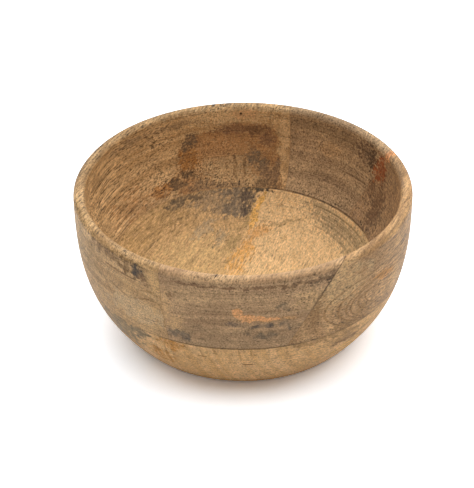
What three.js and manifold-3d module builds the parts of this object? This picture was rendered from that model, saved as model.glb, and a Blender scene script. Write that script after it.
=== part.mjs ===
// A turned salad bowl of mango wood. A thick base board carries a ring of wall boards, glued up as a block
// and then turned. One level bed joint lies under the ring. Two upright seams part the ring's three boards,
// and the hollow cuts the middle board, and both seams, in two.
// Millimetres, +Z up. The foot stands on Z = 0, the bowl's axis is Z, and the front of the bowl faces -Y.
import * as THREE from 'three';
import { mergeVertices } from 'three/addons/utils/BufferGeometryUtils.js';
import Module from 'manifold-3d';

const wasm = await Module();
wasm.setup();

// Outside of the bowl
const HEIGHT = 116;
const RIM_RADIUS = 125;
const FOOT_RADIUS = 86;
const FOOT_ROUNDING = 2.5;
const FOOT_LEAN = THREE.MathUtils.degToRad(46);

// Hollow of the bowl
const RIM_WALL = 9;
const FLOOR_THICKNESS = 18;

// How far each end of a wall curve keeps its direction, as a share of that curve's own reach
const OUTER_FOOT_RATIO = 0.42;
const OUTER_RIM_RATIO = 0.35;
const INNER_RIM_RATIO = 0.64;
const INNER_FLOOR_RATIO = 0.65;

// Joints: the bed joint's height, and each seam's distance from the axis at that height. A seam is turned
// clockwise from Y, seen from above, and its top leans outwards.
const BED_HEIGHT = 53;
const LEFT_SEAM_OFFSET = 6;
const LEFT_SEAM_TURN = THREE.MathUtils.degToRad(23.6);
const LEFT_SEAM_LEAN = THREE.MathUtils.degToRad(3.8);
const RIGHT_SEAM_OFFSET = 62.6;
const RIGHT_SEAM_TURN = THREE.MathUtils.degToRad(17);
const RIGHT_SEAM_LEAN = THREE.MathUtils.degToRad(28);

// Glue film, and the clearance between it and the wood on either side
const GLUE_FILM = 0.3;
const GLUE_CLEARANCE = 0.05;

// Oiled wood of each board, and the dark line that the glue leaves
const BASE_WOOD = 0xb08a57;
const LEFT_WOOD = 0x94764f;
const RIGHT_WOOD = 0x9c7b52;
const FRONT_WOOD = 0x957a58;
const BACK_WOOD = 0x846645;
const GLUE_LINE = 0x3f2c1a;
const WOOD_ROUGHNESS = 0.6;
const GLUE_ROUGHNESS = 0.45;

// Fineness of the turned surfaces, and the distance within which points are one
const STEPS_AROUND = 96;
const OUTER_STEPS = 14;
const INNER_STEPS = 18;
const LIP_STEPS = 8;
const FOOT_STEPS = 3;
const SAME_POINT = 1e-3;

const HALF_FILM = GLUE_FILM / 2;
const HALF_JOINT = HALF_FILM + GLUE_CLEARANCE;
const REACH = 2 * (RIM_RADIUS + HEIGHT);

const LEFT_SEAM = { side: -1, offset: LEFT_SEAM_OFFSET, turn: LEFT_SEAM_TURN, lean: LEFT_SEAM_LEAN };
const RIGHT_SEAM = { side: 1, offset: RIGHT_SEAM_OFFSET, turn: RIGHT_SEAM_TURN, lean: RIGHT_SEAM_LEAN };

// Outer wall: rises from the foot at its lean and comes up plumb under the lip.
function outerWall(start, lipRadius) {
  const end = new THREE.Vector2(RIM_RADIUS, HEIGHT - lipRadius);
  const reach = start.distanceTo(end);
  const footPull = new THREE.Vector2(Math.cos(FOOT_LEAN), Math.sin(FOOT_LEAN));
  footPull.multiplyScalar(OUTER_FOOT_RATIO * reach).add(start);
  const rimPull = new THREE.Vector2(end.x, end.y - OUTER_RIM_RATIO * reach);
  return new THREE.CubicBezierCurve(start, footPull, rimPull, end);
}

// Inner wall: drops plumb from the lip and runs out level at the middle of the floor.
function innerWall(lipRadius) {
  const start = new THREE.Vector2(RIM_RADIUS - RIM_WALL, HEIGHT - lipRadius);
  const end = new THREE.Vector2(0, FLOOR_THICKNESS);
  const rimPull = new THREE.Vector2(start.x, start.y - INNER_RIM_RATIO * (start.y - end.y));
  const floorPull = new THREE.Vector2(INNER_FLOOR_RATIO * start.x, end.y);
  return new THREE.CubicBezierCurve(start, rimPull, floorPull, end);
}

// Half section of the whole bowl: foot, outer wall, half-round lip, inner wall, floor.
function bowlSection() {
  const lipRadius = RIM_WALL / 2;
  const footCorner = new THREE.Vector2(FOOT_RADIUS, 0);
  const footEdge = new THREE.Vector2(FOOT_RADIUS - FOOT_ROUNDING, 0);
  const wallStart = new THREE.Vector2(Math.cos(FOOT_LEAN), Math.sin(FOOT_LEAN));
  wallStart.multiplyScalar(FOOT_ROUNDING).add(footCorner);
  const foot = new THREE.QuadraticBezierCurve(footEdge, footCorner, wallStart);
  const lip = new THREE.EllipseCurve(
    RIM_RADIUS - lipRadius, HEIGHT - lipRadius, lipRadius, lipRadius, 0, Math.PI);
  return [
    new THREE.Vector2(0, 0),
    ...foot.getPoints(FOOT_STEPS),
    ...outerWall(wallStart, lipRadius).getPoints(OUTER_STEPS).slice(1),
    ...lip.getPoints(LIP_STEPS).slice(1),
    ...innerWall(lipRadius).getPoints(INNER_STEPS).slice(1),
  ];
}

// A closed geometry as a solid that can be cut. Triangles with no area, at the axis, are left out.
function toSolid(geometry) {
  geometry.deleteAttribute('normal');
  geometry.deleteAttribute('uv');
  const merged = mergeVertices(geometry, SAME_POINT);
  const index = merged.index.array;
  const triangles = [];
  for (let i = 0; i < index.length; i += 3) {
    const [a, b, c] = index.slice(i, i + 3);
    if (a !== b && b !== c && c !== a) triangles.push(a, b, c);
  }
  return new wasm.Manifold(new wasm.Mesh({
    numProp: 3,
    vertProperties: new Float32Array(merged.attributes.position.array),
    triVerts: new Uint32Array(triangles),
  }));
}

function turnedBowl() {
  const geometry = new THREE.LatheGeometry(bowlSection(), STEPS_AROUND);
  geometry.rotateX(Math.PI / 2);
  return toSolid(geometry);
}

// All the space between two levels.
function layer(low, high) {
  const geometry = new THREE.BoxGeometry(REACH, REACH, high - low);
  geometry.translate(0, 0, (low + high) / 2);
  return toSolid(geometry);
}

// All the space in front of the bowl's axis (side -1) or behind it (side 1).
function half(side) {
  const geometry = new THREE.BoxGeometry(REACH, REACH, REACH);
  geometry.translate(0, side * REACH / 2, 0);
  return toSolid(geometry);
}

// All the space between two planes parallel to a seam, at distances from it counted outwards.
function alongSeam(seam, from, to) {
  const geometry = new THREE.BoxGeometry(to - from, REACH, REACH);
  geometry.translate(seam.side * (from + to) / 2, 0, 0);
  geometry.rotateY(seam.side * seam.lean);
  geometry.translate(seam.side * seam.offset, 0, BED_HEIGHT);
  geometry.rotateZ(-seam.turn);
  return toSolid(geometry);
}

function addPiece(group, name, solid, color, roughness) {
  const mesh = solid.getMesh();
  const geometry = new THREE.BufferGeometry();
  geometry.setAttribute('position', new THREE.BufferAttribute(mesh.vertProperties, 3));
  geometry.setIndex(new THREE.BufferAttribute(mesh.triVerts, 1));
  geometry.computeVertexNormals();
  const material = new THREE.MeshStandardMaterial({ color, roughness, metalness: 0, flatShading: true });
  const piece = new THREE.Mesh(geometry, material);
  piece.name = name;
  group.add(piece);
}

function addWood(group, name, solid, color) {
  addPiece(group, name, solid, color, WOOD_ROUGHNESS);
}

function addGlue(group, name, solid) {
  addPiece(group, name, solid, GLUE_LINE, GLUE_ROUGHNESS);
}

function addBase(group, bowl) {
  const board = bowl.intersect(layer(-REACH, BED_HEIGHT - HALF_JOINT));
  addWood(group, 'base_board', board, BASE_WOOD);
  const film = bowl.intersect(layer(BED_HEIGHT - HALF_FILM, BED_HEIGHT + HALF_FILM));
  addGlue(group, 'bed_glue', film);
}

function addOuterBoards(group, ring) {
  const left = ring.intersect(alongSeam(LEFT_SEAM, HALF_JOINT, REACH));
  const right = ring.intersect(alongSeam(RIGHT_SEAM, HALF_JOINT, REACH));
  addWood(group, 'left_wall_board', left, LEFT_WOOD);
  addWood(group, 'right_wall_board', right, RIGHT_WOOD);
}

function addMiddleBoards(group, ring) {
  const middle = ring
    .subtract(alongSeam(LEFT_SEAM, -HALF_JOINT, REACH))
    .subtract(alongSeam(RIGHT_SEAM, -HALF_JOINT, REACH));
  addWood(group, 'front_wall_board', middle.intersect(half(-1)), FRONT_WOOD);
  addWood(group, 'back_wall_board', middle.intersect(half(1)), BACK_WOOD);
}

function addSeamGlue(group, ring, seam, board) {
  const film = ring.intersect(alongSeam(seam, -HALF_FILM, HALF_FILM));
  addGlue(group, `${board}_front_glue`, film.intersect(half(-1)));
  addGlue(group, `${board}_back_glue`, film.intersect(half(1)));
}

function makeBowl() {
  const group = new THREE.Group();
  const bowl = turnedBowl();
  const ring = bowl.intersect(layer(BED_HEIGHT + HALF_JOINT, REACH));
  addBase(group, bowl);
  addOuterBoards(group, ring);
  addMiddleBoards(group, ring);
  addSeamGlue(group, ring, LEFT_SEAM, 'left');
  addSeamGlue(group, ring, RIGHT_SEAM, 'right');
  return group;
}

export default makeBowl();
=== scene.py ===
# %% [markdown]
# # A turned salad bowl of mango wood
#
# The bowl was glued up as a block before it went on the lathe: one thick board for the base, and on it a
# ring of three boards, whose seams lean. Turning cut the hollow through the middle board, so it shows at
# the front and at the back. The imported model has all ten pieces, and this lesson gives each a fine turned
# surface and its own wood.

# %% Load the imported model
import math

import bmesh
import bpy
import numpy as np
from mathutils import Euler, Matrix, Vector


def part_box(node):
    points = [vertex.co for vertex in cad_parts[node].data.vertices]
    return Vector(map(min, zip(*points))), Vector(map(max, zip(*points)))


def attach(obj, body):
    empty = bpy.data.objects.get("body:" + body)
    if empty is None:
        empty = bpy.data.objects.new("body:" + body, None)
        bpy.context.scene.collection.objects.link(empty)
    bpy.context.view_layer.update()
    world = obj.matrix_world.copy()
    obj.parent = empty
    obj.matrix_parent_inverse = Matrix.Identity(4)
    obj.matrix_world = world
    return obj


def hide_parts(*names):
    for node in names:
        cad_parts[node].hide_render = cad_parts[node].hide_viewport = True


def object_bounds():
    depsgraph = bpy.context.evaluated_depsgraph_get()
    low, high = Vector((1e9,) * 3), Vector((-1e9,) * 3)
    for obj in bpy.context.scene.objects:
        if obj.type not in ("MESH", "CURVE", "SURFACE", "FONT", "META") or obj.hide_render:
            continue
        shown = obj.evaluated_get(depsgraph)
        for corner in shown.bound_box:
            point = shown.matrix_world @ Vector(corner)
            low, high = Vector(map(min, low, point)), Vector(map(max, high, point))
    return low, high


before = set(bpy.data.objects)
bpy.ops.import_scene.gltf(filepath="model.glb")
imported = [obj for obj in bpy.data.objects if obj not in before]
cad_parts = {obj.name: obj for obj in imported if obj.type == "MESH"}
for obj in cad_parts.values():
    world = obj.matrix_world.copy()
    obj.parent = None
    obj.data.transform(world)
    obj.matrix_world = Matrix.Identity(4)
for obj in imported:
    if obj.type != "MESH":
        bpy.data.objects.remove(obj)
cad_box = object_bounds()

print("nodes:", ", ".join(sorted(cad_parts)))
print("box of the solids in metres:", [[round(v, 4) for v in corner] for corner in cad_box])

# %% [markdown]
# ## Measures
#
# Blender works in metres, but a maker thinks of a bowl in millimetres, so every size here is in
# millimetres and is scaled once, where a mesh is made. The outer sizes are read from the solids. The
# curves of the wall can't be read from a faceted solid, so their few numbers are given again.

# %% Sizes read from the solids
MM = 0.001


def node_points(name):
    """The corners of a solid, in millimetres."""
    return np.array([v.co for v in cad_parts[name].data.vertices]) / MM


def node_middle(name):
    """The middle of a solid's box, in millimetres."""
    low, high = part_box(name)
    return (low + high) / 2 / MM


base_points = node_points("base_board")
base_radii = np.hypot(base_points[:, 0], base_points[:, 1])
rim_radius = cad_box[1].x / MM
height = cad_box[1].z / MM
bed = node_middle("bed_glue").z
film = (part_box("bed_glue")[1].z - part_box("bed_glue")[0].z) / MM
clearance = bed - film / 2 - base_points[:, 2].max()
foot_flat = base_radii[base_points[:, 2] < film].max()
floor_level = base_points[(base_radii < film) & (base_points[:, 2] > film)][:, 2].max()
print(f"rim radius {rim_radius:.1f}, height {height:.1f}, bed joint {bed:.1f}, floor {floor_level:.1f} mm")

# %% [markdown]
# ## The camera
#
# A product photograph is taken from some way off with a long lens, so the far rim looks nearly as wide as
# the near one. The place, the lens and a small lean of the camera were worked out from the ellipses that
# the rim, the foot and the bed joint make in the photograph.

# %% Set up the camera
PICTURE_HEIGHT = 488
LENS_IN_PIXELS = 1900
SENSOR = 36
CAMERA_DISTANCE = 1430
CAMERA_ELEVATION = math.radians(33.63)
CAMERA_ROLL = math.radians(-0.58)
AIM_HEIGHT = 60
AIM_RIGHT = -0.0033
AIM_UP = 0.00158


def make_camera():
    """A camera in front of the bowl, aimed a little beside its middle as in the photograph."""
    back = Vector((0, -math.cos(CAMERA_ELEVATION), math.sin(CAMERA_ELEVATION)))
    sideways = Vector((1, 0, 0))
    forward = (-back + AIM_RIGHT * sideways + AIM_UP * sideways.cross(-back)).normalized()
    right = forward.cross(Vector((0, 0, 1))).normalized()
    up = right.cross(forward)
    turn = Matrix((right, up, -forward)).transposed() @ Matrix.Rotation(CAMERA_ROLL, 3, "Z")
    data = bpy.data.cameras.new("product_camera")
    data.lens = LENS_IN_PIXELS * SENSOR / PICTURE_HEIGHT
    data.sensor_width = SENSOR
    camera = bpy.data.objects.new("product_camera", data)
    place = back * CAMERA_DISTANCE + Vector((0, 0, AIM_HEIGHT))
    camera.matrix_world = Matrix.Translation(place * MM) @ turn.to_4x4()
    bpy.context.scene.collection.objects.link(camera)
    bpy.context.scene.camera = camera
    return camera


camera = make_camera()
print(f"lens {camera.data.lens:.1f} mm at {camera.location.length:.2f} m")

# %% [markdown]
# ## The section
#
# A bowl on the lathe is one section swept round an axis. The section is drawn as the turner cuts it: the
# flat foot, the rounded foot edge, the outer wall up to the lip, half a circle over the lip, and the inner
# wall down to the floor. Each stretch is one Bezier curve or arc, with points about a millimetre apart.

# %% Draw half of the section
FOOT_ROUNDING = 2.5
FOOT_LEAN = math.radians(46)
RIM_WALL = 9
OUTER_FOOT_PULL, OUTER_RIM_PULL = 0.42, 0.35
INNER_RIM_PULL, INNER_FLOOR_PULL = 0.64, 0.65
OUTER_STEPS, LIP_STEPS, INNER_STEPS, FOOT_STEPS = 130, 18, 190, 5

lip_radius = RIM_WALL / 2
lip_level = height - lip_radius


def bezier(points, steps):
    """Evenly stepped places on a Bezier curve of any degree, as rows of radius and height."""
    t = np.linspace(0, 1, steps + 1)[:, None]
    level = [np.repeat([p], steps + 1, axis=0) for p in np.asarray(points, float)]
    while len(level) > 1:
        level = [a * (1 - t) + b * t for a, b in zip(level, level[1:])]
    return level[0]


def draw_section():
    """Outer wall from the foot up, lip, and inner wall down to the axis, in millimetres."""
    corner = np.array([foot_flat + FOOT_ROUNDING, 0])
    lean = np.array([math.cos(FOOT_LEAN), math.sin(FOOT_LEAN)])
    start = corner + lean * FOOT_ROUNDING
    end = np.array([rim_radius, lip_level])
    reach = np.linalg.norm(end - start)
    foot = bezier([corner - [FOOT_ROUNDING, 0], corner, start], FOOT_STEPS)
    foot_pull = lean * OUTER_FOOT_PULL * reach
    rim_pull = np.array([0, OUTER_RIM_PULL * reach])
    outer = bezier([start, start + foot_pull, end - rim_pull, end], OUTER_STEPS)
    turn = np.linspace(0, math.pi, LIP_STEPS + 1)
    lip = np.column_stack([np.cos(turn), np.sin(turn)]) * lip_radius + [rim_radius - lip_radius, lip_level]
    top = np.array([rim_radius - RIM_WALL, lip_level])
    drop = lip_level - floor_level
    under_lip = top - [0, INNER_RIM_PULL * drop]
    floor_edge = np.array([INNER_FLOOR_PULL * top[0], floor_level])
    inner = bezier([top, under_lip, floor_edge, [0, floor_level]], INNER_STEPS)
    return np.concatenate([foot, outer[1:], lip[1:], inner[1:]]), outer, inner[::-1]


section, outer_curve, inner_curve = draw_section()
print(f"section of {len(section)} points, lip radius {lip_radius} mm")

# %% [markdown]
# ## Turning
#
# Sweeping the section round the axis gives the whole bowl as one closed skin. A lathe leaves shallow rings
# where the gouge went round, and sanding leaves slow dips, so each point is pushed in or out by up to a
# sixth of a millimetre. The push is a sum of waves and not a random draw, so every run is the same and
# neighbouring boards still meet.

# %% Sweep the section into a bowl
STEPS_AROUND = 192
RING_SPACING = 3.1
RING_DEPTH = 0.035
DIP_DEPTH = 0.18
# Strength, waves round the bowl, and millimetres along the section that shift a wave by one radian
DIP_WAVES = [(1.0, 2, 23), (0.7, 3, -31), (0.5, 7, 13)]
RING_WAVER = (0.8, 3, 17)
CHATTER = (0.4, 5, 11)
FADE_IN, STILL_MIDDLE = 8, 12


def wave(along, angle, strength, waves, shift):
    """One wave that goes round the bowl and shifts along the section."""
    return strength * np.sin(waves * angle + along / shift)


def tool_marks(along, angle):
    """How far sanding and the gouge moved the surface, in millimetres."""
    rings = np.sin(2 * math.pi * along / RING_SPACING + wave(along, angle, *RING_WAVER))
    chatter = 1 - CHATTER[0] + wave(along, angle, *CHATTER)
    dips = sum(wave(along, angle, *dip) for dip in DIP_WAVES)
    return RING_DEPTH * rings * chatter + DIP_DEPTH / len(DIP_WAVES) * dips


def turn_bowl():
    """The whole bowl as a closed bmesh, in metres."""
    steps = np.gradient(section, axis=0)
    out = np.column_stack([steps[:, 1], -steps[:, 0]])
    out /= np.linalg.norm(out, axis=1, keepdims=True)
    along = np.concatenate([[0], np.cumsum(np.linalg.norm(np.diff(section, axis=0), axis=1))])
    angles = np.arange(STEPS_AROUND) / STEPS_AROUND * 2 * math.pi
    # The foot stays flat on the table and the middle of the floor stays one point.
    free = np.clip((along - FOOT_ROUNDING * 2) / FADE_IN, 0, 1)
    free = free * np.clip(section[:, 0] / STILL_MIDDLE, 0, 1)
    push = tool_marks(along[:, None], angles[None]) * free[:, None]
    radius = section[:, None, 0] + out[:, None, 0] * push
    level = section[:, None, 1] + out[:, None, 1] * push
    rings = np.stack([radius * np.cos(angles), radius * np.sin(angles), level], -1)[:-1]
    points = np.concatenate([rings.reshape(-1, 3), [[0, 0, floor_level], [0, 0, 0]]]) * MM
    ring = np.arange(STEPS_AROUND)
    after = np.roll(ring, -1)
    faces = []
    for n in range(len(rings) - 1):
        low, high = n * STEPS_AROUND, (n + 1) * STEPS_AROUND
        faces += np.column_stack([low + ring, low + after, high + after, high + ring]).tolist()
    last, floor_point, foot_point = (len(rings) - 1) * STEPS_AROUND, len(points) - 2, len(points) - 1
    faces += [(last + a, last + b, floor_point) for a, b in zip(ring.tolist(), after.tolist())]
    faces += [(b, a, foot_point) for a, b in zip(ring.tolist(), after.tolist())]
    mesh = bpy.data.meshes.new("turned_bowl")
    mesh.from_pydata(points.tolist(), [], faces)
    bowl = bmesh.new()
    bowl.from_mesh(mesh)
    bpy.data.meshes.remove(mesh)
    return bowl


turned_bowl = turn_bowl()
print(f"turned bowl: {len(turned_bowl.faces)} faces")

# %% [markdown]
# ## Sawing the bowl into its boards
#
# The boards were glued before turning, so on the real bowl they share one surface and meet at thin joints
# of glue. Cutting copies of the turned skin along the joints, and closing each cut, gives boards and glue
# films that fit each other, with the solids' small clearance between them. A joint is a plane, so Blender's
# bisect does the sawing.

# %% The joints as planes
LEFT_SEAM = {"side": -1, "offset": 6, "turn": math.radians(23.6), "lean": math.radians(3.8)}
RIGHT_SEAM = {"side": 1, "offset": 62.6, "turn": math.radians(17), "lean": math.radians(28)}
half_film = film / 2
half_joint = half_film + clearance


def bed_plane(shift):
    """A level plane, shift millimetres above the bed joint."""
    return Vector((0, 0, bed + shift)), Vector((0, 0, 1))


def seam_plane(seam, shift):
    """A plane beside a seam, shift millimetres outwards of it, with its normal pointing outwards."""
    side, lean = seam["side"], seam["lean"]
    turn = Matrix.Rotation(-seam["turn"], 3, "Z")
    normal = turn @ Vector((side * math.cos(lean), 0, -math.sin(lean)))
    return turn @ Vector((side * seam["offset"], 0, bed)) + normal * shift, normal


axis_plane = (Vector((0, 0, 0)), Vector((0, 1, 0)))
print("seam normals:", [[round(v, 3) for v in seam_plane(s, 0)[1]] for s in (LEFT_SEAM, RIGHT_SEAM)])

# %% Saw one piece
ON_THE_PLANE = 1e-8
SHARP_EDGE = math.radians(40)


def saw(name, cuts):
    """A copy of the turned bowl, cut at each (plane, kept side) and closed again, as a new object."""
    piece = turned_bowl.copy()
    for (place, normal), kept in cuts:
        everything = piece.verts[:] + piece.edges[:] + piece.faces[:]
        made = bmesh.ops.bisect_plane(piece, geom=everything, plane_co=place * MM, plane_no=normal,
                                      dist=ON_THE_PLANE, clear_inner=kept > 0, clear_outer=kept < 0)
        edges = [g for g in made["geom_cut"] if isinstance(g, bmesh.types.BMEdge)]
        if edges:
            bmesh.ops.triangle_fill(piece, use_beauty=True, use_dissolve=False, edges=edges)
    bmesh.ops.recalc_face_normals(piece, faces=piece.faces[:])
    mesh = bpy.data.meshes.new(name)
    piece.to_mesh(mesh)
    open_edges = sum(not e.is_manifold for e in piece.edges)
    piece.free()
    mesh.shade_smooth()
    mesh.set_sharp_from_angle(angle=SHARP_EDGE)
    made = bpy.data.objects.new(name, mesh)
    bpy.context.scene.collection.objects.link(made)
    print(f"{name}: {len(mesh.polygons)} faces, {open_edges} open edges")
    return made


def stand_for(piece, node):
    """The piece rides on the bowl's one body, in the place of a solid, which is hidden."""
    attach(piece, "root")
    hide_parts(node)


# %% Saw the boards
above_bed = (bed_plane(half_joint), 1)
left_of_left = (seam_plane(LEFT_SEAM, half_joint), 1)
right_of_left = (seam_plane(LEFT_SEAM, -half_joint), -1)
right_of_right = (seam_plane(RIGHT_SEAM, half_joint), 1)
left_of_right = (seam_plane(RIGHT_SEAM, -half_joint), -1)

base_wood = saw("base_board_wood", [(bed_plane(-half_joint), -1)])
left_wood = saw("left_board_wood", [above_bed, left_of_left])
right_wood = saw("right_board_wood", [above_bed, right_of_right])
front_wood = saw("front_board_wood", [above_bed, right_of_left, left_of_right, (axis_plane, -1)])
back_wood = saw("back_board_wood", [above_bed, right_of_left, left_of_right, (axis_plane, 1)])

stand_for(base_wood, "base_board")
stand_for(left_wood, "left_wall_board")
stand_for(right_wood, "right_wall_board")
stand_for(front_wood, "front_wall_board")
stand_for(back_wood, "back_wall_board")

# %% Saw the glue films
glue_lines = []


def saw_seam_glue(seam, board):
    """The two films of one seam, at the front and at the back."""
    for end, kept in (("front", -1), ("back", 1)):
        film_cuts = [(seam_plane(seam, half_film), -1), (seam_plane(seam, -half_film), 1), (axis_plane, kept)]
        piece = saw(f"{board}_{end}_glue_line", [above_bed] + film_cuts)
        stand_for(piece, f"{board}_{end}_glue")
        glue_lines.append(piece)


bed_line = saw("bed_glue_line", [(bed_plane(half_film), -1), (bed_plane(-half_film), 1)])
stand_for(bed_line, "bed_glue")
glue_lines.append(bed_line)
saw_seam_glue(LEFT_SEAM, "left")
saw_seam_glue(RIGHT_SEAM, "right")
turned_bowl.free()

# %% [markdown]
# ## A borer's hole
#
# Just under the back rim a wood borer left one round hole, about a millimetre and a half wide. It is a real
# hole in the real bowl, so it is drilled here with a boolean; its walls and a thin ring round it are painted
# shade.

# %% Drill the hole
HOLE_RADIUS = 0.8
HOLE_DEPTH = 5
HOLE_SIDES = 20
HOLE_ANGLE = 90.5
HOLE_LEVEL = 109.2


def drill(piece):
    """Cuts a small round hole into the inner wall of a piece."""
    way = math.radians(HOLE_ANGLE)
    outwards = Vector((math.cos(way), math.sin(way), 0))
    place = outwards * (rim_radius - RIM_WALL) + Vector((0, 0, HOLE_LEVEL))
    bit = bmesh.new()
    bmesh.ops.create_cone(bit, cap_ends=True, segments=HOLE_SIDES, radius1=HOLE_RADIUS * MM,
                          radius2=HOLE_RADIUS * MM, depth=2 * HOLE_DEPTH * MM)
    bit.transform(Matrix.Translation(place * MM) @ outwards.to_track_quat("Z", "Y").to_matrix().to_4x4())
    mesh = bpy.data.meshes.new("drill_bit")
    bit.to_mesh(mesh)
    bit.free()
    tool = bpy.data.objects.new("drill_bit", mesh)
    bpy.context.scene.collection.objects.link(tool)
    cut = piece.modifiers.new("borer_hole", "BOOLEAN")
    cut.object = tool
    cut.solver = "EXACT"
    drilled = bpy.data.meshes.new_from_object(piece.evaluated_get(bpy.context.evaluated_depsgraph_get()))
    piece.modifiers.clear()
    piece.data = drilled
    bpy.data.objects.remove(tool)
    bpy.data.meshes.remove(mesh)
    drilled.set_sharp_from_angle(angle=SHARP_EDGE)


faces_before = len(left_wood.data.polygons)
drill(left_wood)
print(f"borer's hole: {len(left_wood.data.polygons) - faces_before:+d} faces on the left board")

# %% [markdown]
# ## Tools for the finishes
#
# Colours are written as the hex values that a colour picker shows, which are sRGB, and one function turns
# them to the linear values that a shader needs. Another small function adds a node with its settings and
# links, so that a material reads as a list of what it does.

# %% Colour and node helpers
COLOUR_A, COLOUR_B, COLOUR_OUT = 6, 7, 2


def linear(hex_colour):
    """An sRGB colour such as a1b2c3 as linear red, green, blue and alpha."""
    parts = [int(hex_colour[i:i + 2], 16) / 255 for i in (0, 2, 4)]
    return [c / 12.92 if c <= 0.04045 else ((c + 0.055) / 1.055) ** 2.4 for c in parts] + [1]


def add(tree, kind, inputs=None, out=0, **settings):
    """Adds a shader node with its settings, sets or links its inputs, and gives one of its outputs."""
    node = tree.nodes.new("ShaderNode" + kind)
    for name, value in settings.items():
        setattr(node, name, value)
    for name, value in (inputs or {}).items():
        if isinstance(value, bpy.types.NodeSocket):
            tree.links.new(value, node.inputs[name])
        else:
            node.inputs[name].default_value = value
    return node.outputs[out] if len(node.outputs) else node


def new_tree(owner):
    """The empty node tree of a new material or world."""
    owner.use_nodes = True
    owner.node_tree.nodes.clear()
    return owner.node_tree


print("oiled mango wood in linear colour:", [round(c, 3) for c in linear("b08a5e")])

# %% [markdown]
# ## Where a mark lies
#
# The stains of this wood are places in the tree, so each has a place on the bowl: a direction round the
# axis, in degrees from the right-hand side with the front at -90, and a height in millimetres. The section
# then says how far out that is. A mark is an ellipsoid, and larger stains join several of them. A very flat
# one makes a line, and one that is flat along a seam's plane makes the dark line of a dusty seam.

# %% Places on the bowl


def wall_mark(face, angle, level, wide, tall, tilt=0, deep=14):
    """A mark on a wall: its middle, its turn, and its half sizes along, into and up the wall."""
    curve = inner_curve if face == "inside" else outer_curve
    radius = np.interp(level, curve[:, 1], curve[:, 0])
    way = math.radians(angle)
    middle = Vector((radius * math.cos(way), radius * math.sin(way), level))
    return middle, Euler((0, math.radians(tilt), way + math.pi / 2)), (wide, deep, tall)


def floor_mark(x, y, long, wide, heading, deep=14):
    """A mark on the floor: its middle, its turn from the right-hand side, and its half sizes."""
    level = np.interp(math.hypot(x, y), inner_curve[:, 0], inner_curve[:, 1])
    return Vector((x, y, level)), Euler((0, 0, math.radians(heading))), (long, wide, deep)


def seam_mark(seam, level, tall, wide, deep=14):
    """A thin mark along a seam, where it comes out at the front of the bowl."""
    place, normal = seam_plane(seam, 0)
    along = normal.cross(Vector((0, 0, 1))).normalized()
    up = along.cross(normal)
    up *= math.copysign(1, up.z)
    middle = place + up * (level - place.z) / up.z
    # Slide along the seam, towards the front, as far as the outer wall.
    along *= -math.copysign(1, along.y)
    radius = np.interp(level, outer_curve[:, 1], outer_curve[:, 0])
    flat = Vector((middle.x, middle.y, 0))
    slide = -flat.dot(along)
    slide += math.sqrt(radius ** 2 - (flat + along * slide).length ** 2)
    turn = Matrix((normal, up.cross(normal), up)).transposed().to_euler()
    return middle + along * slide, turn, (wide, deep, tall)


print("a mark inside the back:", [round(v) for v in wall_mark("inside", 90, 80, 10, 10)[0]])

# %% [markdown]
# ## Mango wood, turned and oiled
#
# Mango wood is straw to grey-brown, with wide soft growth bands and open pores. Where a fungus lived in the
# tree it is stained grey, orange and near black. Turned, sanded and oiled, it is dull with a faint sheen. It
# could be painted on, but a solid texture suits it: the colour depends on the place in the board, so the
# bands run as arcs where the wall lies along the grain and break up into specks where it cuts across.

# %% The grain of one board
GRAIN_HEADING = 66.4
BAND_WIDTH = 6.5
# Length along the grain, width across it, and detail of each noise
FIBRES = (45.0, 1.2, 3.0)
PORES = (7.0, 1.0, 2.0)
SPECKS = (2.6, 1.2, 1.0)
MOTTLE = (16.0, 5.0, 3.0)
BLOTCHES = (7.0, 2.2, 2.0)
WANDER_WIDTH, WANDER = 80, 7
ALONG_PITH = 0.03


def drift(tree, place, width, reach, detail):
    """The place, moved about by up to half of reach, in bends about as wide as width."""
    noise = add(tree, "TexNoise", {"Vector": place, "Scale": 1 / width, "Detail": detail, "Roughness": 0.65},
                out="Color")
    noise = add(tree, "VectorMath", {0: noise, 1: (0.5, 0.5, 0.5)}, operation="SUBTRACT")
    return add(tree, "VectorMath", {0: noise, 1: (reach,) * 3, 2: place}, operation="MULTIPLY_ADD")


def wood_grain(tree, place, pith):
    """Noises of growth bands, fibres, pores, specks, mottling and blotches, all about 0.5 on average."""
    wander = drift(tree, place, WANDER_WIDTH, WANDER, 2.0)
    turn = (0, 0, math.radians(GRAIN_HEADING))
    grain = add(tree, "Mapping", {"Vector": wander, "Location": pith, "Rotation": turn},
                vector_type="TEXTURE")
    # Growth bands lie round the pith, each a little lighter or darker than the last.
    across = add(tree, "VectorMath", {0: grain, 1: (ALONG_PITH, 1, 1)}, operation="MULTIPLY")
    from_pith = add(tree, "VectorMath", {0: across}, out="Value", operation="LENGTH")
    bands = add(tree, "TexNoise", {"W": from_pith, "Scale": 1 / BAND_WIDTH, "Detail": 3.0,
                                   "Roughness": 0.6}, noise_dimensions="1D")
    noises = [bands]
    # Real pores are about 0.2 mm wide. They are drawn five times as wide, because a pixel shows 0.7 mm.
    for length, width, detail in (FIBRES, PORES, SPECKS, MOTTLE, BLOTCHES):
        stretch = (1 / length, 1 / width, 1 / width)
        stretched = add(tree, "VectorMath", {0: grain, 1: stretch}, operation="MULTIPLY")
        noises.append(add(tree, "TexNoise", {"Vector": stretched, "Scale": 1.0, "Detail": detail,
                                             "Roughness": 0.65}))
    return noises


# %% [markdown]
# ### Marks of the lathe
#
# The gouge and the sandpaper went round the bowl, so their finest scratches are level rings, and oil and
# dust darken them. A noise that is drawn out along the ring and narrow across it gives arcs that start and
# stop. Across the ring it counts radius plus height, which grows steadily from the floor up to the rim.

# %% Rings of the lathe
SCRATCH_LENGTH, SCRATCH_WIDTH = 90.0, 1.2
SCRATCH_FROM, SCRATCH_TO = 0.48, 0.75
SCRATCH_MIDDLE = 45


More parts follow.
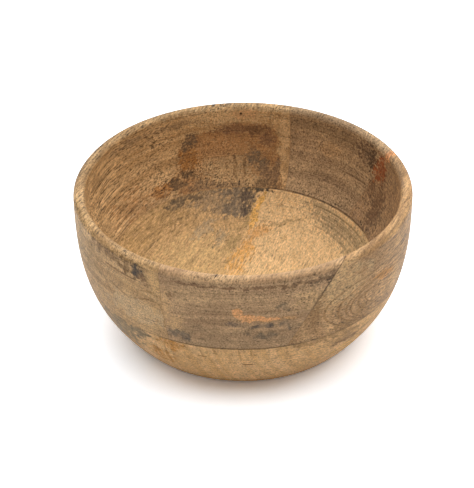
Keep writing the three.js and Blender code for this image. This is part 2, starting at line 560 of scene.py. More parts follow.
def lathe_scratches(tree, place):
    """Dark level scratches, from 0 to 1, which fade out at the middle of the floor."""
    flat = add(tree, "VectorMath", {0: place, 1: (1, 1, 0)}, operation="MULTIPLY")
    radius = add(tree, "VectorMath", {0: flat}, out="Value", operation="LENGTH")
    level = add(tree, "VectorMath", {0: place, 1: (0, 0, 1)}, out="Value", operation="DOT_PRODUCT")
    climb = add(tree, "Math", {0: radius, 1: level}, operation="ADD")
    climb = add(tree, "CombineXYZ", {"Z": climb})
    shrink = (1 / SCRATCH_LENGTH,) * 3
    stretched = add(tree, "VectorMath", {0: flat, 1: shrink, 2: climb}, operation="MULTIPLY_ADD")
    noise = add(tree, "TexNoise", {"Vector": stretched, "Scale": 1 / SCRATCH_WIDTH, "Detail": 2.0})
    scratches = add(tree, "MapRange", {"Value": noise, "From Min": SCRATCH_FROM, "From Max": SCRATCH_TO})
    faded = add(tree, "MapRange", {"Value": radius, "From Min": SCRATCH_MIDDLE,
                                   "From Max": 2 * SCRATCH_MIDDLE})
    return add(tree, "Math", {0: scratches, 1: faded}, operation="MULTIPLY")


# %% [markdown]
# ### Stains
#
# A stain is a change of colour inside a shape, with a ragged edge because the fungus and the oil follow the
# pores. The shape's field is 1 on its edge and falls inwards, so one node turns it into an amount. Marks are
# joined by a smooth minimum, as drops of water join, and a noise of blotches breaks the stain into specks.
# Lines, such as the dust in a joint, stay clean: they are very thin marks, or only the edge of a mark.

# %% One stain
RAGGED_WIDTH, RAGGED = 8, 8
JOINED = 0.25
SPECKLE = 7.0
FLECKS = 0.5
NOISE_LOW, NOISE_HIGH = 0.35, 0.65
THIN = 1
HOLLOW_MIDDLE = (0, 0, 75)
FACE_BLEND = 0.1


def facing_hollow(tree, place):
    """1 on the inner wall and floor, and 0 outside: the inside looks at the middle of the hollow."""
    normal = add(tree, "NewGeometry", out="Normal")
    way = add(tree, "VectorMath", {0: HOLLOW_MIDDLE, 1: place}, operation="SUBTRACT")
    way = add(tree, "VectorMath", {0: way}, operation="NORMALIZE")
    facing = add(tree, "VectorMath", {0: way, 1: normal}, out="Value", operation="DOT_PRODUCT")
    return add(tree, "MapRange", {"Value": facing, "From Min": -FACE_BLEND, "From Max": FACE_BLEND})


def stain(tree, colour, places, specks, mask, new_colour, strength, softness, *marks):
    """The colour, changed inside some marks. Softness is how far the edge fades, as a share of their size."""
    smooth, ragged = places
    # A mark with a fourth value, the width of its edge, is drawn as that edge alone.
    line = min(marks[0][2]) < THIN or len(marks[0]) > 3
    place = smooth if line else ragged
    field = None
    for middle, turn, halves, *edge_width in marks:
        local = add(tree, "Mapping", {"Vector": place, "Location": middle, "Rotation": turn, "Scale": halves},
                    vector_type="TEXTURE")
        far = add(tree, "VectorMath", {0: local}, out="Value", operation="LENGTH")
        if edge_width:
            far = add(tree, "Math", {0: far, 1: 1.0}, operation="SUBTRACT")
            far = add(tree, "Math", {0: far}, operation="ABSOLUTE")
            far = add(tree, "Math", {0: far, 1: edge_width[0]}, operation="DIVIDE")
        field = add(tree, "Math", {0: field, 1: far, 2: JOINED}, operation="SMOOTH_MIN") if field else far
    spread = 0 if line else SPECKLE * softness
    uneven = 0 if line else FLECKS
    field = add(tree, "Math", {0: specks, 1: spread, 2: field}, operation="MULTIPLY_ADD")
    edge = 1 + spread / 2
    flecks = add(tree, "MapRange", {"Value": specks, "From Min": NOISE_LOW, "From Max": NOISE_HIGH,
                                    "To Min": strength * (1 + uneven), "To Max": strength * (1 - uneven)})
    amount = add(tree, "MapRange", {"Value": field, "From Min": edge + softness, "From Max": edge - softness,
                                    "To Max": flecks}, interpolation_type="SMOOTHSTEP")
    if mask:
        amount = add(tree, "Math", {0: amount, 1: mask}, operation="MULTIPLY")
    return add(tree, "Mix", {0: amount, COLOUR_A: colour, COLOUR_B: linear(new_colour)}, out=COLOUR_OUT,
               data_type="RGBA")


# %% [markdown]
# ### Fine texture
#
# Close up, the surface is uneven at every size: long fibres, short dark pores, specks, soft mottling, and
# the scratches. Each noise lightens or darkens by its own amount. The fibres come and go in patches, so that
# no part looks printed, and they fade where the wall cuts across them, because end grain shows no lines. The
# same noises dent the surface, where dark pores lie deepest.

# %% Shade and relief of the surface
FIBRE_SHADE, SPECK_SHADE, MOTTLE_SHADE = 2.1, 1.5, 0.9
FIBRE_LIGHTEST, FIBRE_SHARE = 0.08, 0.006
FAINT_FIBRES, STRONG_FIBRES = 0.4, 1.3
SLANTED, SQUARE, END_GRAIN = 0.7, 0.95, 0.35
PORE_FROM, PORE_TO = 0.56, 0.7
PORE_SHADE, PORE_SHARE = 0.4, 0.1
SCRATCH_SHADE, SCRATCH_SHARE = 0.35, 0.15
LIP_TOP = 1


def fine_texture(tree, place, noises, clouds, fibre, speck, lip):
    """How light each spot is, about 1 on average, and how high it stands."""
    fibres, pores, specks, mottle = noises
    patches = add(tree, "MapRange", {"Value": clouds, "From Min": NOISE_LOW, "From Max": NOISE_HIGH,
                                     "To Min": FAINT_FIBRES, "To Max": STRONG_FIBRES})
    along = (math.cos(math.radians(GRAIN_HEADING)), math.sin(math.radians(GRAIN_HEADING)), 0)
    normal = add(tree, "NewGeometry", out="Normal")
    cut = add(tree, "VectorMath", {0: normal, 1: along}, out="Value", operation="DOT_PRODUCT")
    cut = add(tree, "Math", {0: cut}, operation="ABSOLUTE")
    lying = add(tree, "MapRange", {"Value": cut, "From Min": SLANTED, "From Max": SQUARE, "To Min": 1.0,
                                   "To Max": END_GRAIN})
    fibres = add(tree, "Math", {0: fibres, 1: 0.5}, operation="SUBTRACT")
    fibres = add(tree, "Math", {0: fibres, 1: FIBRE_LIGHTEST}, operation="MINIMUM")
    for fade in (patches, lying):
        fibres = add(tree, "Math", {0: fibres, 1: fade}, operation="MULTIPLY")
    pits = add(tree, "MapRange", {"Value": pores, "From Min": PORE_FROM, "From Max": PORE_TO})
    scratches = lathe_scratches(tree, place)
    level = add(tree, "VectorMath", {0: place, 1: (0, 0, 1)}, out="Value", operation="DOT_PRODUCT")
    start = 1 - (SPECK_SHADE * speck + MOTTLE_SHADE) / 2
    start += PORE_SHADE * PORE_SHARE + SCRATCH_SHADE * SCRATCH_SHARE + FIBRE_SHADE * fibre * FIBRE_SHARE
    # The top of the lip is lightened or darkened by lip, set per board: a painted highlight where lip is
    # above 0, painted shade where it is below.
    shade = add(tree, "MapRange", {"Value": level, "From Min": lip_level, "From Max": height - LIP_TOP,
                                   "To Min": start, "To Max": start + lip})
    for noise, amount in ((fibres, FIBRE_SHADE * fibre), (specks, SPECK_SHADE * speck),
                          (mottle, MOTTLE_SHADE), (pits, -PORE_SHADE), (scratches, -SCRATCH_SHADE)):
        shade = add(tree, "Math", {0: noise, 1: amount, 2: shade}, operation="MULTIPLY_ADD")
    relief = add(tree, "Math", {0: fibres, 1: pits}, operation="SUBTRACT")
    relief = add(tree, "Math", {0: relief, 1: scratches}, operation="SUBTRACT")
    return shade, relief


# %% [markdown]
# ### One board's finish
#
# The tone comes from the bands and from slow clouds, then the stains change it, and last the fine texture
# shades it. Oil soaks into bare wood, so little shine is left: the light mirrored is set well below that of
# varnish.

# %% The whole finish of one board
CLOUD_WIDTH = 30
DARKEST, LIGHTEST = 0.75, 1.25
PORE_DEPTH, BUMP = 0.15, 0.6
SMOOTHEST, ROUGHEST = 0.52, 0.66
FIBRE_LOW, FIBRE_HIGH = 0.3, 0.7
WOOD_IOR, WOOD_SHINE = 1.5, 0.2


def mango_wood(name, light, dark, pith, stains, fibre=1.0, speck=1.0, lip=0.0):
    """Turned and oiled mango wood: dull, grey-brown, banded, with pores that catch the light."""
    material = bpy.data.materials.new(name)
    tree = new_tree(material)
    coords = add(tree, "TexCoord", out="Object")
    place = add(tree, "VectorMath", {0: coords, "Scale": 1 / MM}, operation="SCALE")
    inside = facing_hollow(tree, place)
    outside = add(tree, "Math", {0: 1.0, 1: inside}, operation="SUBTRACT")
    masks = {"inside": inside, "outside": outside, "through": None}
    bands, *noises, blotches = wood_grain(tree, place, pith)
    clouds = add(tree, "TexNoise", {"Vector": place, "Scale": 1 / CLOUD_WIDTH, "Detail": 3.0})

    tone = add(tree, "Math", {0: bands, 1: clouds}, operation="ADD")
    tone = add(tree, "MapRange", {"Value": tone, "From Min": DARKEST, "From Max": LIGHTEST})
    colour = add(tree, "Mix", {0: tone, COLOUR_A: linear(dark), COLOUR_B: linear(light)}, out=COLOUR_OUT,
                 data_type="RGBA")
    ragged = drift(tree, place, RAGGED_WIDTH, RAGGED, 4.0)
    for face, new_colour, strength, softness, *marks in stains:
        # Outside, a stain breaks up more coarsely, as the mottling does.
        specks = noises[-1] if face == "outside" else blotches
        colour = stain(tree, colour, (place, ragged), specks, masks[face], new_colour, strength, softness,
                       *marks)

    shade, relief = fine_texture(tree, place, noises, clouds, fibre, speck, lip)
    colour = add(tree, "VectorMath", {0: colour, "Scale": shade}, operation="SCALE")
    bump = add(tree, "Bump", {"Strength": BUMP, "Distance": PORE_DEPTH * MM, "Height": relief})
    rough = add(tree, "MapRange", {"Value": noises[0], "From Min": FIBRE_LOW, "From Max": FIBRE_HIGH,
                                   "To Min": SMOOTHEST, "To Max": ROUGHEST})
    shader = add(tree, "BsdfPrincipled", {"Base Color": colour, "Roughness": rough, "Normal": bump,
                                          "IOR": WOOD_IOR, "Specular IOR Level": WOOD_SHINE})
    add(tree, "OutputMaterial", {"Surface": shader})
    print(f"{name}: {len(tree.nodes)} nodes, {len(stains)} stains")
    return material


# %% [markdown]
# ### The base board
#
# The palest board. Its left part is darker heartwood that goes right through, so it shows on the floor and
# outside at the left. A golden streak follows the border, and a near-black patch ends at it.

# %% Wood of the base board
HEARTWOOD_MIDDLE, HEARTWOOD_SIZE = (-466, 237, 20), 500
DEEP = 40
heartwood = (Vector(HEARTWOOD_MIDDLE), Euler((0, 0, 0)), (HEARTWOOD_SIZE,) * 3)
bed_line_inside = wall_mark("inside", 46, bed, 64, 0.65, deep=DEEP)
bed_line_outside = wall_mark("outside", -88, bed, 86, 0.8, deep=DEEP)
dusty_bed = [
    ("inside", "4a3622", 0.7, 0.5, bed_line_inside),
    ("outside", "58432c", 0.6, 0.5, bed_line_outside),
]
base_stains = [
    # Pale floor, then heartwood: paler towards the middle of the floor, browner up the wall
    ("inside", "d4b07f", 0.85, 0.3, floor_mark(20, 20, 110, 110, 0, deep=60)),
    ("through", "b18d5e", 0.9, 0.006, heartwood),
    ("inside", "be9d6b", 0.7, 0.5, floor_mark(-38, 36, 34, 20, 30)),
    ("inside", "a28051", 0.6, 0.5, wall_mark("inside", 134, 44, 26, 8),
     wall_mark("inside", 155, 45, 26, 8)),
    ("inside", "98866a", 0.5, 0.4, floor_mark(-31, 66, 12, 4, 50), floor_mark(-18, 60, 9, 4, 70)),
    ("inside", "92795a", 0.8, 0.35, wall_mark("inside", 105, 47, 20, 7),
     wall_mark("inside", 100, 43, 14, 6)),
    # Golden streak along the heartwood's border, with a brown edge on its left
    ("inside", "9d8154", 0.6, 0.4, floor_mark(2, 73, 8, 2.5, 75), floor_mark(-8, 58, 10, 3, 60)),
    ("inside", "d8a558", 0.8, 0.3, floor_mark(14, 88, 8, 2, 58), floor_mark(8.5, 78, 9, 2.4, 82)),
    ("inside", "c4935a", 0.8, 0.35, floor_mark(12, 66, 9, 5, 20), floor_mark(2, 54, 8, 4, 50)),
    ("inside", "cb9856", 0.75, 0.45, floor_mark(-1, 44, 12, 6, 55), floor_mark(-6, 30, 14, 6, 75)),
    # Near-black patch that ends at the streak
    ("inside", "77654f", 0.9, 0.25, wall_mark("inside", 91, 48, 12, 6),
     wall_mark("inside", 94, 41, 11, 5), wall_mark("inside", 97, 50, 9, 3)),
    ("inside", "594939", 0.8, 0.3, wall_mark("inside", 88, 47, 4, 6),
     wall_mark("inside", 88.5, 41, 3, 4)),
    ("inside", "514330", 0.85, 0.3, wall_mark("inside", 82, 52, 9, 1.8)),
    ("inside", "6a563d", 0.85, 0.3, wall_mark("inside", 119.5, 50.8, 14, 2.6),
     wall_mark("inside", 124, 49, 9, 2.4)),
    # Crack in the pale wood, darker wood up the right wall, and four lathe rings there
    ("inside", "9d8055", 0.7, 0.5, floor_mark(34, 70, 17, 1.1, -4)),
    ("inside", "a28862", 0.85, 0.35, wall_mark("inside", 46, 48, 16, 4),
     wall_mark("inside", 35, 45, 18, 7), wall_mark("inside", 18, 45, 26, 9)),
    ("inside", "766144", 0.6, 0.5, wall_mark("inside", 33, 49.4, 34, 0.6, deep=DEEP)),
    ("inside", "766144", 0.5, 0.5, wall_mark("inside", 30, 45.8, 30, 0.6, deep=DEEP)),
    ("inside", "766144", 0.5, 0.5, wall_mark("inside", 36, 42.6, 26, 0.6, deep=DEEP)),
    ("inside", "7d6849", 0.5, 0.5, wall_mark("inside", 26, 39.6, 30, 0.6, deep=DEEP)),
    # Outside: grey-brown left end, orange under the joint, pale sanding scratches, and a darker right end
    ("outside", "897354", 0.85, 0.4, wall_mark("outside", -141, 42, 22, 14),
     wall_mark("outside", -130, 48, 10, 6)),
    ("outside", "bb8340", 0.75, 0.4, wall_mark("outside", -116, 46, 9, 5),
     wall_mark("outside", -122, 30, 8, 8)),
    ("outside", "d7b27c", 0.6, 0.5, wall_mark("outside", -120.5, 36, 0.8, 13, 4),
     wall_mark("outside", -117.5, 36, 0.8, 12, 4), wall_mark("outside", -105.5, 45, 0.8, 8, -6),
     wall_mark("outside", -103.5, 46, 0.8, 7, -6)),
    ("outside", "8f6b40", 0.45, 0.4, wall_mark("outside", -105, 45, 0.8, 5, -11),
     wall_mark("outside", -100.3, 49, 0.8, 4.5, -20), wall_mark("outside", -94.2, 48, 0.7, 4, -5),
     wall_mark("outside", -91.6, 46, 0.8, 6, -8), wall_mark("outside", -87.5, 47, 0.7, 4, -7),
     wall_mark("outside", -119.2, 35, 0.8, 14, 2), wall_mark("outside", -123, 34, 0.8, 12, 2)),
    ("outside", "704a28", 0.85, 0.25, wall_mark("outside", -88.6, 34.1, 4, 0.8)),
    ("outside", "8c6338", 0.7, 0.3, wall_mark("outside", -105, 41.5, 4, 0.9)),
    ("outside", "a58053", 0.85, 0.3, wall_mark("outside", -62, 50.5, 26, 3.2),
     wall_mark("outside", -50, 43, 18, 8)),
    ("outside", "83603f", 0.8, 0.3, wall_mark("outside", -50, 38, 10, 2.4)),
    ("outside", "cc9f5c", 0.7, 0.35, wall_mark("outside", -47, 26, 14, 6)),
]
base_wood.data.materials.append(
    mango_wood("mango_base_board", "d2a978", "c39863", (-200, 60, 0), base_stains + dusty_bed, fibre=0.8,
               speck=0.9))

# %% [markdown]
# ### The left board
#
# The longest board of the ring. Inside at the back it has one large brown stain, rusty at the left and pale
# in the middle, that runs down to the joint. Outside at the front it has a dark knot beside a pale strip.

# %% Wood of the left board
large_stain = [
    wall_mark("inside", 95, 84, 37, 13, deep=DEEP), wall_mark("inside", 110, 88, 6, 7),
    wall_mark("inside", 88, 95, 17, 7, deep=DEEP), wall_mark("inside", 78.5, 88, 5, 9),
    wall_mark("inside", 79, 72, 8, 14), wall_mark("inside", 97, 66, 41, 14, deep=DEEP),
    wall_mark("inside", 96, 56, 42, 9, deep=DEEP), wall_mark("inside", 77, 61, 7, 7),
    wall_mark("inside", 114, 77, 7, 10),
]
stain_tail = [wall_mark("inside", 121, 62, 7, 5), wall_mark("inside", 129, 60, 10, 4.5)]
left_stains = [
    # The large stain: pale in the middle, rusty at the left, dark along the top, at the right and below
    ("inside", "966d44", 0.9, 0.07, *large_stain, *stain_tail),
    ("inside", "aa8b63", 0.8, 0.4, wall_mark("inside", 97, 65, 22, 12, deep=DEEP),
     wall_mark("inside", 93, 57, 26, 6)),
    ("inside", "a97e52", 0.6, 0.5, wall_mark("inside", 100, 82, 20, 7)),
    ("inside", "926434", 0.7, 0.35, wall_mark("inside", 113, 76, 8, 10),
     wall_mark("inside", 128, 60.5, 9, 3.5)),
    ("inside", "815f41", 0.85, 0.35, wall_mark("inside", 89, 96, 21, 4.5),
     wall_mark("inside", 80, 90, 6, 7)),
    ("inside", "6f5134", 0.7, 0.4, wall_mark("inside", 85, 96, 9, 3)),
    ("inside", "65513b", 0.8, 0.35, wall_mark("inside", 111, 91, 5, 5),
     wall_mark("inside", 114, 86, 3, 4)),
    ("inside", "5f4930", 0.8, 0.35, wall_mark("inside", 120, 61.5, 6, 5),
     wall_mark("inside", 114, 65, 7, 3)),
    ("inside", "6e5c46", 0.75, 0.35, wall_mark("inside", 85, 73, 6, 6),
     wall_mark("inside", 81, 67, 5, 6)),
    ("inside", "785d42", 0.8, 0.35, wall_mark("inside", 78, 61, 7, 8),
     wall_mark("inside", 75, 67, 3, 7)),
    ("inside", "6f5639", 0.75, 0.35, wall_mark("inside", 79, 55.5, 9, 3)),
    ("inside", "7b5f3e", 0.7, 0.3, wall_mark("inside", 93.3, 67, 1.3, 9),
     wall_mark("inside", 89, 66, 1.2, 7)),
    ("inside", "7a6145", 0.7, 0.35, wall_mark("inside", 109, 56, 10, 4),
     wall_mark("inside", 98, 54.5, 14, 1.8)),
    # Pale strips along the seam and under the rim, brown ones at the left, and the borer's hole darkened:
    # painted shade
    ("inside", "c3a176", 0.7, 0.35, wall_mark("inside", 73, 98, 4.5, 22, deep=24)),
    ("inside", "c8a87c", 0.7, 0.5, wall_mark("inside", 96, 108, 40, 6, deep=DEEP)),
    ("inside", "8c7151", 0.7, 0.4, wall_mark("inside", 139, 106, 18, 3),
     wall_mark("inside", 119, 106, 18, 2.5)),
    ("inside", "a27a4f", 0.7, 0.5, wall_mark("inside", 148, 62, 22, 8)),
    ("inside", "c7986a", 0.5, 0.4, wall_mark("inside", 89, 109, 8, 4)),
    ("inside", "3a2012", 0.95, 0.2, wall_mark("inside", HOLE_ANGLE, HOLE_LEVEL, 0.95, 1.1)),
    # Outside: brown under the lip, the knot with its lines, and two pale patches beside the seam
    ("outside", "9d7c4c", 0.6, 0.5, wall_mark("outside", -160, 96, 24, 20, deep=DEEP)),
    ("outside", "82613a", 0.75, 0.4, wall_mark("outside", -139, 109.5, 24, 3.5),
     wall_mark("outside", -129, 107, 10, 5)),
    ("outside", "4a3e32", 0.75, 0.45, wall_mark("outside", -127, 107, 6, 4.6)),
    ("outside", "74563a", 0.75, 0.35, wall_mark("outside", -124, 103, 4.5, 4),
     wall_mark("outside", -122.5, 99, 4, 3.5)),
    ("outside", "7d5b38", 0.75, 0.25, wall_mark("outside", -134.5, 99.9, 17, 0.9, 2)),
    ("outside", "86643f", 0.75, 0.25, wall_mark("outside", -136, 84, 10, 0.9, 16),
     wall_mark("outside", -126, 84, 11, 0.9, -18)),
    ("outside", "8e6b44", 0.6, 0.25, wall_mark("outside", -142, 84, 14, 0.9, 58),
     wall_mark("outside", -123, 93, 8, 0.9, -12)),
    ("outside", "c69f6d", 0.8, 0.4, wall_mark("outside", -120.3, 105, 4.5, 10)),
    ("outside", "c6a67d", 0.8, 0.25, wall_mark("outside", -129, 71, 26, 10)),
]
# The left board's lip is darkened a little: painted shade.
left_wood.data.materials.append(
    mango_wood("mango_left_board", "c09c6f", "a17e54", (-70, 20, -140), left_stains + dusty_bed, fibre=2.0,
               speck=1.0, lip=-0.1))

# %% [markdown]
# ### The front board
#
# Here the wall cuts across the grain, so the wood is greyer and speckled. It is tan along the left seam, and
# has one orange spot with blue-grey smudges under it and a dark band under the lip.

# %% Wood of the front board
dusty_seam = ("outside", "55402b", 0.7, 0.5, seam_mark(RIGHT_SEAM, 94, 21, 0.6))
front_stains = [
    # Grey low down, tan along the left seam, and the dark band under the lip
    ("outside", "977a59", 0.6, 0.5, wall_mark("outside", -90, 62, 66, 11, deep=DEEP)),
    ("outside", "c19b6e", 0.85, 0.4, wall_mark("outside", -117, 84, 6, 16),
     wall_mark("outside", -113, 73, 6, 8)),
    ("outside", "b08f68", 0.5, 0.5, wall_mark("outside", -108, 103, 16, 4.5)),
    ("outside", "7d5e43", 0.75, 0.35, wall_mark("outside", -106, 108.8, 20, 1.2),
     wall_mark("outside", -88, 108.6, 24, 1.2)),
    ("outside", "72553a", 0.75, 0.35, wall_mark("outside", -72, 108, 22, 1.5)),
    ("outside", "624a32", 0.8, 0.35, wall_mark("outside", -61.5, 108, 7, 3.5)),
    # A pale place near the right seam, smudges, and the orange spot
    ("outside", "ba966a", 0.6, 0.5, wall_mark("outside", -68, 93, 10, 9)),
    ("outside", "5d4f44", 0.65, 0.45, wall_mark("outside", -93.5, 77.5, 5, 3),
     wall_mark("outside", -85, 75.5, 10, 2)),
    ("outside", "605649", 0.55, 0.5, wall_mark("outside", -113, 61, 9, 3.5),
     wall_mark("outside", -77, 74, 4, 4)),
    ("outside", "6c5c48", 0.6, 0.45, wall_mark("outside", -77, 91, 4, 3.5),
     wall_mark("outside", -84, 66, 11, 2.4)),
    ("outside", "806243", 0.7, 0.35, wall_mark("outside", -113.5, 95.5, 3, 3)),
    ("outside", "d79d68", 0.95, 0.15, wall_mark("outside", -91.6, 87, 3.4, 4.6, -20),
     wall_mark("outside", -88.8, 83.6, 7, 3.6), wall_mark("outside", -84, 81.8, 11, 2.2)),
    ("outside", "c2935f", 0.7, 0.4, wall_mark("outside", -75, 80.8, 6, 1.8)),
    dusty_seam,
]
# The front board's lip is lightened: a painted highlight.
front_wood.data.materials.append(
    mango_wood("mango_front_board", "b6946d", "997958", (30, -80, -150), front_stains + dusty_bed, fibre=1.8,
               speck=1.0, lip=0.24))

# %% [markdown]
# ### The back board and the right board
#
# An orange-red patch sits on the seam between them, so both boards get the same stain and it runs on across
# the joint. The back board is dark under the lip, with two lathe rings lower down.

# %% Wood of the back board
orange_patch = [
    ("inside", "6b5038", 0.7, 0.4, wall_mark("inside", 20, 72, 7, 16),
     wall_mark("inside", 27, 80, 5, 8)),
    ("through", "864d2c", 0.9, 0.3, wall_mark("inside", 24.3, 98, 8, 11, -15)),
    ("through", "c28657", 0.8, 0.35, wall_mark("inside", 20.5, 113, 5, 4)),
]
back_stains = [
    ("inside", "866d4f", 0.7, 0.5, wall_mark("inside", 60, 106, 22, 3.5),
     wall_mark("inside", 46, 104, 20, 5)),
    ("inside", "6b543e", 0.75, 0.4, wall_mark("inside", 33.5, 103, 12, 9)),
    ("inside", "4f3c2b", 0.75, 0.4, wall_mark("inside", 30, 100, 5, 9)),
    ("inside", "b1916d", 0.6, 0.5, wall_mark("inside", 62, 86, 12, 9)),
    ("inside", "ad8a62", 0.7, 0.4, wall_mark("inside", 53, 90, 11, 5)),
    ("inside", "5a4530", 0.8, 0.5, wall_mark("inside", 37, 78.5, 18, 0.7, deep=DEEP)),
    ("inside", "68533c", 0.5, 0.5, wall_mark("inside", 33, 76, 12, 0.6, deep=DEEP)),
] + orange_patch
back_wood.data.materials.append(
    mango_wood("mango_back_board", "aa8c68", "8c7153", (60, 60, -150), back_stains + dusty_bed, speck=1.6))

# %% [markdown]
# On the right board the growth bands lie flat in the wall, so they show outside as nested curves. Each is the
# edge of an ellipsoid, one inside the other.

# %% Wood of the right board
# Middle level, half length, half height and tilt of each nested curve, from the smallest outwards
NESTED_CURVES = [
    (65.8, 30, 8.5, 24), (67, 35, 12, 14), (68, 41, 17.4, 8),
    (68, 45, 18.4, 8), (68.7, 52, 20.5, 8), (69.3, 63, 24, 8),
]
NESTED_MIDDLE, NESTED_DEEP = -33, 100
GROWTH_LINE = 1.0


def growth_line(level, long, tall, tilt):
    """The edge alone of a mark on the outer wall, where the wall cuts a growth band nearly flat."""
    return *wall_mark("outside", NESTED_MIDDLE, level, long, tall, tilt, NESTED_DEEP), GROWTH_LINE / long


right_stains = [
    ("outside", "bc9a6e", 0.8, 0.4, wall_mark("outside", -56, 96, 20, 16)),
    ("outside", "b58147", 0.75, 0.35, wall_mark("outside", -36, 85, 14, 3.5, 10)),
    ("outside", "967349", 0.75, 0.4, wall_mark("outside", -47, 57, 30, 6),
     wall_mark("outside", -46, 65, 8, 5)),
    ("outside", "84613b", 0.7, 0.5, *[growth_line(*curve) for curve in NESTED_CURVES]),
    dusty_seam,
    # Darker all over the right inner wall: painted shade, for the shade this side of the hollow lies in.
    ("inside", "8b6f52", 0.85, 0.3, wall_mark("inside", 15, 80, 60, 45, deep=DEEP)),
    ("inside", "6f5942", 0.7, 0.4, wall_mark("inside", 18, 67, 10, 13)),
    ("through", "8a6c4c", 0.7, 0.4, wall_mark("inside", 11, 114, 14, 6)),
] + orange_patch
# The right board's lip is lightened: a painted highlight.
right_wood.data.materials.append(
    mango_wood("mango_right_board", "b99367", "94714b", (169, -75, 69), right_stains + dusty_bed, fibre=1.4,
               speck=1.1, lip=0.12))

# %% [markdown]
# ## The glue lines
#
# White wood glue dries clear and takes the colour of the wood, so most joints show only as a change of
# tone. Where dust and oil settled in a joint it is a fine dark line: all along the front of the bed joint,
# inside it on the right, and at the top of the right front seam.

# %% Clear and dusty glue
GLUE_DUST = 8
GLUE_SMOOTHEST, GLUE_ROUGHEST = 0.45, 0.65
GLUE_BUMP, GLUE_GRIT = 0.3, 0.1
GLUE_IOR = 1.48


def wood_glue(name, clear, dusty, stains):
    """Wood glue that took the wood's colour, darkened in places, with a dull shine."""
    material = bpy.data.materials.new(name)
    tree = new_tree(material)
    coords = add(tree, "TexCoord", out="Object")
    place = add(tree, "VectorMath", {0: coords, "Scale": 1 / MM}, operation="SCALE")
    dust = add(tree, "TexNoise", {"Vector": place, "Scale": 1 / GLUE_DUST, "Detail": 3.0})
    colour = add(tree, "Mix", {0: dust, COLOUR_A: linear(dusty), COLOUR_B: linear(clear)}, out=COLOUR_OUT,
                 data_type="RGBA")
    for new_colour, strength, softness, *marks in stains:
        colour = stain(tree, colour, (place, place), dust, None, new_colour, strength, softness, *marks)
    rough = add(tree, "MapRange", {"Value": dust, "To Min": GLUE_SMOOTHEST, "To Max": GLUE_ROUGHEST})
    bump = add(tree, "Bump", {"Strength": GLUE_BUMP, "Distance": GLUE_GRIT * MM, "Height": dust})
    shader = add(tree, "BsdfPrincipled", {"Base Color": colour, "Roughness": rough, "Normal": bump,
                                          "IOR": GLUE_IOR, "Specular IOR Level": WOOD_SHINE})
    add(tree, "OutputMaterial", {"Surface": shader})
    return material


bed_dust = [
    ("33241a", 0.9, 0.3, wall_mark("inside", 48, bed, 62, 6, deep=30)),
    ("3f2d1e", 0.85, 0.3, wall_mark("outside", -90, bed, 84, 6, deep=34)),
]
seam_dust = [
    ("33241a", 0.9, 0.3, wall_mark("outside", -60, 104, 14, 20)),
    ("864d2c", 0.9, 0.3, wall_mark("inside", 24.3, 98, 8, 11, -15)),
]
bed_finish = wood_glue("wood_glue_bed", "ad8557", "8a6842", bed_dust)
left_finish = wood_glue("wood_glue_clear", "b28a5c", "94714a", [])
right_finish = wood_glue("wood_glue_dusty", "a27e57", "7d5e3f", seam_dust)
for piece in glue_lines:
    seam = piece.name.split("_")[0]
    piece.data.materials.append({"bed": bed_finish, "left": left_finish, "right": right_finish}[seam])
print(f"{len(glue_lines)} glue lines")

# %% [markdown]
# ## The studio
#
# The photograph was taken on white paper under one very large soft lamp, a little behind the bowl, so the
# shadow is short and soft and lies mostly in front. Weak lamps at both sides and near the camera light the
# walls that the big one only grazes. The paper was exposed to plain white, so the camera sees it brighter
# than the bowl does. That is done with the kind of ray that asks: a camera or mirror ray gets the white, and
# a ray that carries light gets the paper's own colour. The white is a little blue, because the bowl throws
# warm light into its own shadow and the photograph's shadow is nearly grey.

# %% Floor and background
FLOOR_SIDE = 6
SKY = 0.03


def white_for_the_eye(tree):
    """1 for a ray that is seen, by the camera or in a reflection, and 0 for one that carries light."""
    path = add(tree, "LightPath", out="Is Camera Ray").node.outputs
    seen = add(tree, "Math", {0: path["Is Camera Ray"], 1: path["Is Glossy Ray"]}, operation="MAXIMUM")
    return add(tree, "Math", {0: seen, 1: path["Is Transmission Ray"]}, operation="MAXIMUM")


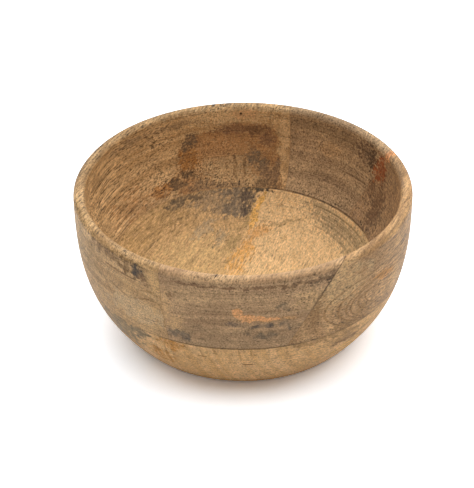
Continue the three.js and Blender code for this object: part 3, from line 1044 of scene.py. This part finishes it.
def make_floor():
    """White paper that carries the bowl's shadow."""
    half = FLOOR_SIDE / 2
    corners = [(-half, -half, 0), (half, -half, 0), (half, half, 0), (-half, half, 0)]
    mesh = bpy.data.meshes.new("paper_floor")
    mesh.from_pydata(corners, [], [(0, 1, 2, 3)])
    floor = bpy.data.objects.new("paper_floor", mesh)
    bpy.context.scene.collection.objects.link(floor)
    material = bpy.data.materials.new("white_paper")
    tree = new_tree(material)
    paper = add(tree, "BsdfDiffuse", {"Color": linear("e6e6e6")})
    brighter = add(tree, "BsdfDiffuse", {"Color": linear("e8f3ff")})
    brighter = add(tree, "AddShader", {0: brighter, 1: paper})
    shader = add(tree, "MixShader", {0: white_for_the_eye(tree), 1: paper, 2: brighter})
    add(tree, "OutputMaterial", {"Surface": shader})
    mesh.materials.append(material)


def make_world():
    """A faint even light from all round, which the camera sees as plain white."""
    world = bpy.data.worlds.new("white_studio")
    tree = new_tree(world)
    strength = add(tree, "MapRange", {"Value": white_for_the_eye(tree), "To Min": SKY, "To Max": 1.0})
    light = add(tree, "Background", {"Color": (1, 1, 1, 1), "Strength": strength})
    add(tree, "OutputWorld", {"Surface": light})
    bpy.context.scene.world = world


make_floor()
make_world()
bpy.context.scene.view_settings.view_transform = "Standard"

# %% Lamps
LAMPS = {
    "soft_key": {"size": 5, "distance": 2.0, "watts": 112, "angle": 80, "elevation": 70},
    "left_side": {"size": 1.5, "distance": 2.0, "watts": 5.5, "angle": 185, "elevation": 40},
    "right_side": {"size": 1.5, "distance": 2.0, "watts": 6.5, "angle": -5, "elevation": 40},
    "front_fill": {"size": 1.2, "distance": 2.2, "watts": 7, "angle": -90, "elevation": 18},
}


def make_lamp(name, size, distance, watts, angle, elevation):
    """A round soft lamp that looks at the bowl from a direction round it and a height over the table."""
    data = bpy.data.lights.new(name, "AREA")
    data.shape = "DISK"
    data.size = size
    data.energy = watts
    lamp = bpy.data.objects.new(name, data)
    way = Euler((0, -math.radians(elevation), math.radians(angle))).to_matrix() @ Vector((1, 0, 0))
    lamp.location = way * distance
    lamp.rotation_euler = way.to_track_quat("Z", "Y").to_euler()
    bpy.context.scene.collection.objects.link(lamp)
    print(f"{name}: {size} m wide at {[round(v, 2) for v in lamp.location]} m")


for lamp_name, lamp_settings in LAMPS.items():
    make_lamp(lamp_name, **lamp_settings)
